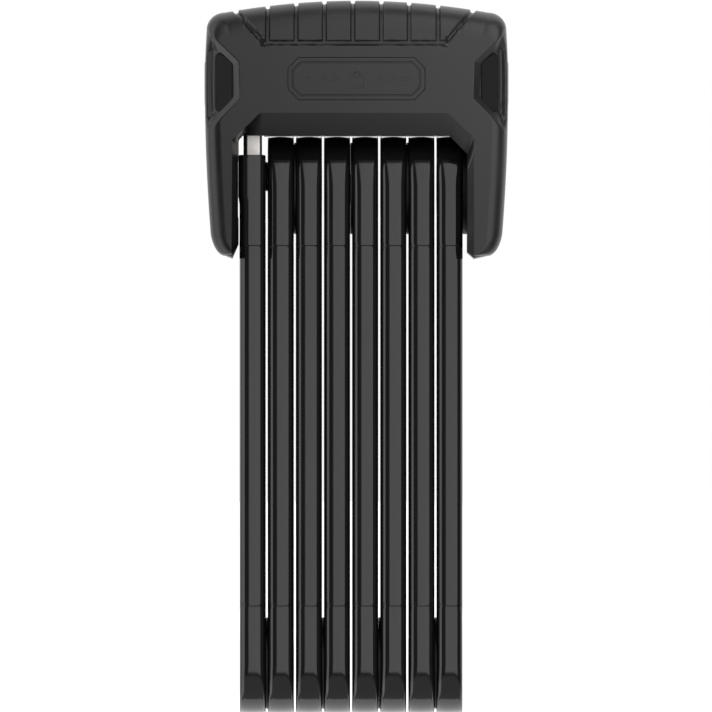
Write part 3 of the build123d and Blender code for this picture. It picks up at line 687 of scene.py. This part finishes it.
def footRun(foot):
    # From the foot along the heel: x grows with the sine of the turn, z falls with a power of its cosine.
    turn = np.radians(np.linspace(0, 90, 24))
    heel = np.stack([silhouette["shoulderX"] + silhouette["heelWide"] * np.sin(turn),
                     silhouette["heelZ"] - silhouette["heelHigh"] * np.cos(turn) ** silhouette["heelPower"]],
                    axis=1)
    return np.concatenate([[foot], heel])


def flip(points):
    # The same outline on the left.
    return np.array(points, dtype=float) * (-1, 1)


def even(count):
    return np.linspace(0, 1, count, endpoint=False)


def coverPaths():
    # Three matching paths from foot to foot: opening edge, outer edge of its bevel, silhouette.
    o, b = opening, bevelEdge
    leftX, rightX = o["topLeft"][0], o["topRight"][0]
    cornerTurn = np.radians(np.linspace(0, 90, 8))
    rounded = np.stack([o["cornerCentre"][0] - o["cornerRound"] * np.cos(cornerTurn),
                        o["cornerCentre"][1] + o["cornerRound"] * np.sin(cornerTurn)], axis=1)
    leftFan = np.concatenate([[o["leftHigh"]], rounded, [o["topLeft"]]])
    # more columns at each groove
    besideGroove = np.array([-0.75, -0.62, -0.5, -0.38, 0, 0.38, 0.5, 0.62, 0.75])
    grooveStops = (grooveX[:, None] + besideGroove).ravel()
    plain = np.linspace(leftX, rightX, 60)
    plain = plain[np.min(np.abs(plain[:, None] - grooveX), axis=1) > 0.95]
    barColumns = np.sort(np.concatenate([plain, grooveStops]))
    barFractions = (barColumns - barColumns[0]) / (barColumns[-1] - barColumns[0])
    arch = np.linspace(leftX, rightX, 200)
    barTop = np.stack([arch, archHeight(arch)], axis=1)
    heelZ, sideEnd = silhouette["heelZ"], silhouette["sideEnd"]
    leftZ, rightZ = b["leftHigh"][1], b["rightHigh"][1]
    leftHeel = flip(footRun((-o["leftFoot"][0], o["leftFoot"][1])))
    rightHeel = footRun(o["rightFoot"])[::-1]
    leftCorner = flip(np.concatenate([sideRun(leftZ, sideEnd), shoulderRun(-leftX)]))
    rightCorner = np.concatenate([sideRun(rightZ, sideEnd), shoulderRun(rightX)])[::-1]
    # shares of the run, then the three outlines between the same two stations
    sections = (
        (even(26), [o["leftFoot"], o["leftLow"]], [o["leftFoot"], b["leftLow"]], leftHeel),
        (even(44), [o["leftLow"], o["leftHigh"]], [b["leftLow"], b["leftHigh"]], flip(sideRun(heelZ, leftZ))),
        (even(160), leftFan, [b["leftHigh"], b["topLeft"]], leftCorner),
        (barFractions[:-1], [o["topLeft"], o["topRight"]], [b["topLeft"], b["topRight"]], barTop),
        (even(160), [o["topRight"], o["slantTop"], o["slantFoot"]], [b["topRight"], b["rightHigh"]],
         rightCorner),
        (even(44), [o["slantFoot"], o["rightLow"]], [b["rightHigh"], b["rightLow"]],
         sideRun(heelZ, rightZ)[::-1]),
        (np.linspace(0, 1, 26), [o["rightLow"], o["rightFoot"]], [b["rightLow"], o["rightFoot"]], rightHeel),
    )
    inner, bevel, outer = (np.concatenate([alongPath(section[path], section[0]) for section in sections])
                           for path in (1, 2, 3))
    # behind the lip the upper right corner is square
    square = inner.copy()
    diagonal = (inner[:, 0] > 25.4) & (inner[:, 1] > 155.25)
    share = np.clip((inner[:, 0] - 25.4) / 5.3, 0, 1)
    square[diagonal] = alongPath([(25.4, 160.4), (30.7, 160.4), (30.7, 155.3)], share[diagonal])
    return inner, bevel, outer, square


def grooveField(x, z):
    # Depth of the grip grooves: upright ones, the level one and the two slanting ends.
    soft = cover["grooveSoft"]
    half = cover["grooveHalf"]
    near = np.abs(x[..., None] - grooveX).min(axis=-1)
    upright = smoothStep((half + soft - near) / (2 * soft)) * smoothStep((z - cover["grooveFloor"]) / 0.3)
    level = smoothStep((z - cover["grooveFloor"]) / 0.3) * smoothStep((cover["grooveShelf"] - z) / 0.3)
    level = level * smoothStep((x + 25.4) / 0.4) * smoothStep((24.4 - x) / 0.4)
    depth = np.maximum(upright, level)
    for (footX, footZ), (headX, headZ) in rampLines:
        run = np.array([headX - footX, headZ - footZ])
        size = np.linalg.norm(run)
        sideways = np.abs((x - footX) * run[1] - (z - footZ) * run[0]) / size
        forward = ((x - footX) * run[0] + (z - footZ) * run[1]) / size
        ramp = smoothStep((half + soft - sideways) / (2 * soft)) * smoothStep((forward + 0.4) / 0.3)
        depth = np.maximum(depth, ramp)
    return cover["grooveDepth"] * depth


def pocketField(x, z, fromOutline):
    # Depth of the two side hollows: slope times the distance inside their outline.
    mirrored = -np.abs(x)
    inside = np.full(x.shape, 1e3)
    for (ax, az), (bx, bz) in zip(pocketLine, pocketLine[1:]):
        gap = ((bz - az) * (mirrored - ax) - (bx - ax) * (z - az)) / math.hypot(bx - ax, bz - az)
        inside = np.minimum(inside, gap)
    deepest = cover["pocketDepth"] + 0.12 * np.clip(np.abs(x) - 34, 0, None)
    hollow = np.minimum(cover["pocketSlope"] * np.clip(inside, 0, None), deepest)
    return hollow * smoothStep(fromOutline / 2.2)


def buildCover(name, node, facing, withPockets):
    # Closed loop of rings from the opening's wall over lip, bevel, front and rounded edge to the back.
    # Depth = front - (R - sqrt(R^2 - (R - d)^2)), d being the distance to the silhouette,
    # less the grooves along the surface normal and the side hollows straight in.
    inner, bevel, outer, square = coverPaths()
    tangent = np.gradient(outer, axis=0)
    tangent /= np.maximum(np.linalg.norm(tangent, axis=1, keepdims=True), 1e-9)
    normal = np.stack([-tangent[:, 1], tangent[:, 0]], axis=1)
    lift = normal[:, 1]
    roundness = cover["sideRound"] + np.where(lift > 0, cover["crownRise"], -cover["footFall"]) * lift**2
    span = np.linalg.norm(outer - bevel, axis=1)
    zone = np.minimum(roundness, 0.9 * span)
    bend = np.radians(np.linspace(90, 0, 15))
    edge = 1 - zone[:, None] * (1 - np.cos(bend)) / np.maximum(span, 1e-6)[:, None]
    flat = np.linspace(0, 1, 86, endpoint=False)[None, 1:] * edge[:, :1]
    share = np.hstack([np.zeros((len(span), 1)), flat, edge])[..., None]
    face = bevel[:, None] + (outer - bevel)[:, None] * share
    gap = np.clip(((outer[:, None] - face) * normal[:, None]).sum(axis=-1), 0, None)
    big = np.broadcast_to(roundness[:, None], gap.shape)
    depth = cover["front"] - fallBack(gap, big)
    tilt = np.clip((big - gap) / big, 0, 1)
    groove = grooveField(face[..., 0], face[..., 1])
    plane = face - normal[:, None] * (groove * tilt)[..., None]
    depth = depth - groove * np.sqrt(1 - tilt**2)
    if withPockets:
        depth = depth - pocketField(face[..., 0], face[..., 1], gap)
    # the bevel of the right leg is shallow
    shallow = smoothStep((inner[:, 0] - 29.5) / 1.2) * smoothStep((157.0 - inner[:, 1]) / 6.0)
    lip = cover["lip"] + (cover["legLip"] - cover["lip"]) * shallow
    slope = np.linspace(0, 1, 9)[None, :-1, None]
    bevelPlane = inner[:, None] + (bevel - inner)[:, None] * slope
    bevelDepth = lip[:, None] + (depth[:, :1] - lip[:, None]) * slope[..., 0]
    wallGroove = grooveField(outer[:, 0], outer[:, 1])
    wallPlane = (outer - normal * wallGroove[:, None])[:, None] * np.ones((1, 5, 1))
    wallDepth = (cover["front"] - roundness)[:, None] * np.linspace(1, 0, 6)[None, 1:]
    lipPlane = square[:, None] * np.ones((1, 4, 1))
    lipDepth = lip[:, None] * np.linspace(0, 1, 4)[None]
    loop = np.concatenate([lipPlane, bevelPlane, plane, wallPlane], axis=1)
    away = np.concatenate([lipDepth, bevelDepth * np.ones((len(span), 1)), depth, wallDepth], axis=1)
    points = np.stack([loop[..., 0], facing * away, loop[..., 1]], axis=-1)
    piece = gridPiece(name, points, housingLook, "lock_body", 30)
    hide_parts(node)
    return piece


def prism(outline, low, high, axis):
    # Closed prism: this outline pushed along an axis, the other two axes taking its coordinates.
    outline = np.array(outline, dtype=float)
    count = len(outline)
    ends = [np.insert(outline, axis, level, axis=1) for level in (low, high)]
    faces = [list(range(count))[::-1], list(range(count, 2 * count))]
    faces += [[k, (k + 1) % count, (k + 1) % count + count, k + count] for k in range(count)]
    return np.concatenate(ends), faces


def disc(centre, radius, count=64):
    # Points at even turns of a circle.
    turn = np.linspace(0, 2 * math.pi, count, endpoint=False)
    return np.stack([centre[0] + radius * np.cos(turn), centre[1] + radius * np.sin(turn)], axis=1)


def oblong(low, high):
    # The four corners of a rectangle.
    return [(low[0], low[1]), (high[0], low[1]), (high[0], high[1]), (low[0], high[1])]


def cutAway(piece, shapes):
    # Takes closed prisms that stay clear of each other out of the piece.
    points, faces, start = [], [], 0
    for corners, sides in shapes:
        points.append(corners)
        faces += [[k + start for k in side] for side in sides]
        start += len(corners)
    mesh = bpy.data.meshes.new("cutter")
    mesh.from_pydata((np.concatenate(points) * mm).tolist(), [], faces)
    weld(mesh)
    cutter = bpy.data.objects.new("cutter", mesh)
    bpy.context.scene.collection.objects.link(cutter)
    difference = piece.modifiers.new("cut", "BOOLEAN")
    difference.operation = "DIFFERENCE"
    difference.solver = "EXACT"
    difference.object = cutter
    view = bpy.context.evaluated_depsgraph_get()
    cutMesh = bpy.data.meshes.new_from_object(piece.evaluated_get(view))
    piece.modifiers.clear()
    piece.data = cutMesh
    bpy.data.objects.remove(cutter)
    piece.data.materials.clear()
    piece.data.materials.append(housingLook)


fitting = {
    "slotGap": 0.55,  # on each side of the tongue
    "slotHeadRoom": 0.85,
    "slotFoot": 158.0,
    "swingRadius": 17.25,  # what the turning bars sweep
    "swingSide": 1.05,
    "insertRadius": 6.2,
    "insertEnd": 44,
    "keyRoom": 5.9,
    "keyRoomEnd": 40.9,
    "caseGap": 0.1,
    "screwReach": 2.85,
    "screwGap": 0.15,
}
flapLow, flapHigh = boxOf("keyhole_flap")
keyHeight = float(flapLow[2] + flapHigh[2]) / 2 / mm
insertLow = boxOf("keyhole_rosette")[0]
caseLow, caseHigh = boxOf("lock_case")
screwLow, screwHigh = boxOf("cover_screws")
panelLow, panelHigh = boxOf("badge_panel")
badge = {"corner": 3.0, "gap": 0.07, "rim": 1.1, "line": 0.4, "sink": 0.2, "edge": 0.15}


def badgeOutline(wide, high, corner):
    # Rectangle of these half sizes with its corners cut off.
    return [(-wide + corner, -high), (wide - corner, -high), (wide, -high + corner), (wide, high - corner),
            (wide - corner, high), (-wide + corner, high), (-wide, high - corner), (-wide, -high + corner)]


def fitCovers(front, rear):
    # Room for the tongue, the turning bars, the keyhole insert and flap, the badge, screws and case.
    slotHalf = tongue["thick"] / 2 + fitting["slotGap"]
    slotX = (barX[0] / mm - slotHalf, barX[0] / mm + slotHalf)
    slotTop = float(boxOf("bar_1_core")[1][2]) / mm + fitting["slotHeadRoom"]
    frontSlot = prism(oblong((slotX[0], -8.5), (slotX[1], 3.0)), fitting["slotFoot"], slotTop, 2)
    rearSlot = prism(oblong((slotX[0], -3.0), (slotX[1], 23.0)), fitting["slotFoot"], slotTop, 2)
    swing = prism(disc((0, upperRivet / mm), fitting["swingRadius"], 96), slotX[0] - fitting["swingSide"],
                  barX[1] / mm - barHalf, 0)
    insertDisc = disc((0, keyHeight), fitting["insertRadius"])
    insertDepth = (insertLow[0] / mm, fitting["insertEnd"])
    inserts = [prism(insertDisc, *sorted(side * depth for depth in insertDepth), 0) for side in (-1, 1)]
    keyDisc = disc((0, keyHeight), fitting["keyRoom"])
    keyRoom = prism(keyDisc, caseHigh[0] / mm, fitting["keyRoomEnd"], 0)
    halfWide = (panelHigh[0] - panelLow[0]) / 2 / mm + badge["gap"]
    halfHigh = (panelHigh[2] - panelLow[2]) / 2 / mm + badge["gap"]
    middle = (panelHigh[2] + panelLow[2]) / 2 / mm
    panel = [(x, z + middle) for x, z in badgeOutline(halfWide, halfHigh, badge["corner"])]
    recess = prism(panel, -22.0, panelHigh[1] / mm, 1)
    roomLow, roomHigh = caseLow / mm - fitting["caseGap"], caseHigh / mm + fitting["caseGap"]
    steelRoom = prism(oblong(roomLow[:2], roomHigh[:2]), roomLow[2], roomHigh[2], 2)
    screwInset = fitting["screwReach"] - fitting["screwGap"]
    columns = (screwLow[0] / mm + screwInset, screwHigh[0] / mm - screwInset)
    rows = (screwLow[2] / mm + screwInset, screwHigh[2] / mm - screwInset)
    holes = [prism(disc((x, z), fitting["screwReach"], 40), 18.0, 22.0, 1) for x in columns for z in rows]
    # the rooms first, so that the narrower cuts run into empty space
    for piece in (front, rear):
        cutAway(piece, [steelRoom])
        cutAway(piece, [swing, keyRoom])
    cutAway(front, [frontSlot, recess, *inserts])
    cutAway(rear, [rearSlot, *holes, *inserts])
    for piece in (front, rear):
        closeSlits(piece.data)
        finishPiece(piece, housingLook, 30)


frontShell = buildCover("frontShell", "front_cover", -1, True)
rearShell = buildCover("rearShell", "rear_cover", 1, False)
fitCovers(frontShell, rearShell)
print("covers built", len(frontShell.data.polygons), len(rearShell.data.polygons))


def insetPlate(name, middle, halfWide, halfHigh, corner, rings, node=None):
    # Low plate of nested outlines: half width and height shrink by each ring's inset, its corners by
    # 0.586 of it, and the end rings close on a level line.
    outlines = []
    for inset, depth in rings[1:-1]:
        wide, high = halfWide - inset, halfHigh - inset
        cut = max(corner - 0.586 * inset, 0.02)
        outline = np.array(badgeOutline(wide, high, min(cut, high)))
        outlines.append(alongPath(np.vstack([outline, outline[:1]]), np.linspace(0, 1, 73)[:-1]))
    # both end rings close on a level line, each point straight in from the ring beside it
    reach = halfWide - halfHigh
    first, last = (np.stack([np.clip(ring[:, 0], -reach, reach), 0 * ring[:, 1]], axis=1)
                   for ring in (outlines[0], outlines[-1]))
    loops = [np.stack([middle[0] + outline[:, 0], np.full(72, depth), middle[1] + outline[:, 1]], axis=-1)
             for outline, (inset, depth) in zip([first, *outlines, last], rings)]
    piece = gridPiece(name, np.array(loops), housingLook, "lock_body", 25)
    if node:
        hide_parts(node)
    return piece


def buildBadge():
    # Plate with a sunken line inside its rim, and what stands on it in place of lettering.
    middle = ((panelLow[0] + panelHigh[0]) / 2 / mm, (panelLow[2] + panelHigh[2]) / 2 / mm)
    wide, high = (panelHigh[0] - panelLow[0]) / 2 / mm, (panelHigh[2] - panelLow[2]) / 2 / mm
    back, face = panelHigh[1] / mm, panelLow[1] / mm
    rim, line, sink, edge = badge["rim"], badge["line"], badge["sink"], badge["edge"]
    lineEnd = rim + line
    rings = [(high, back), (0, back), (0, face + edge), (edge, face), (rim, face),
             (rim + 0.12, face + sink), (lineEnd, face + sink), (lineEnd + 0.12, face), (3.0, face),
             (high, face)]
    insetPlate("badgePlate", middle, wide, high, badge["corner"], rings, "badge_panel")
    raised = [(0, face + 0.05), (0, face - 0.08), (0.1, face - 0.14), (0.3, face - 0.14)]
    # a plain padlock between short ribs
    insetPlate("badgeLockBody", (middle[0], middle[1] - 1.1), 2.0, 1.5, 0.5,
               [(1.5, face + 0.05)] + raised + [(1.5, face - 0.14)])
    for side in (-1, 1):
        for place in range(3):
            centre = (middle[0] + side * (6.0 + 3.6 * place), middle[1])
            insetPlate(f"badgeRib{'L' if side < 0 else 'R'}{place}", centre, 1.1, 0.45, 0.3,
                       [(0.45, face + 0.05)] + raised + [(0.45, face - 0.14)])
    # shackle: a flattened ring carried round a half circle, its ends run down into the body
    turn = np.linspace(0, math.pi, 25)[:, None]
    ring = np.linspace(0, 2 * math.pi, 12, endpoint=False)[None, :]
    thick = 0.24
    reach = 1.15 + thick * np.cos(ring)
    across = middle[0] + reach * np.cos(turn)
    forward = face - 0.02 + thick * 0.6 * np.sin(ring) + 0 * turn
    upward = middle[1] + 0.75 + reach * np.sin(turn)
    shackle = np.stack([across, forward, upward], axis=-1)
    ends = [shackle[:1] - (0, 0, 0.5), shackle[-1:] - (0, 0, 0.5)]
    caps = [end.mean(axis=1, keepdims=True) + 0 * end for end in ends]
    gridPiece("badgeShackle", np.concatenate([caps[0], ends[0], shackle, ends[1], caps[1]]),
              housingLook, "lock_body", 40)


buildBadge()
print("badge built")
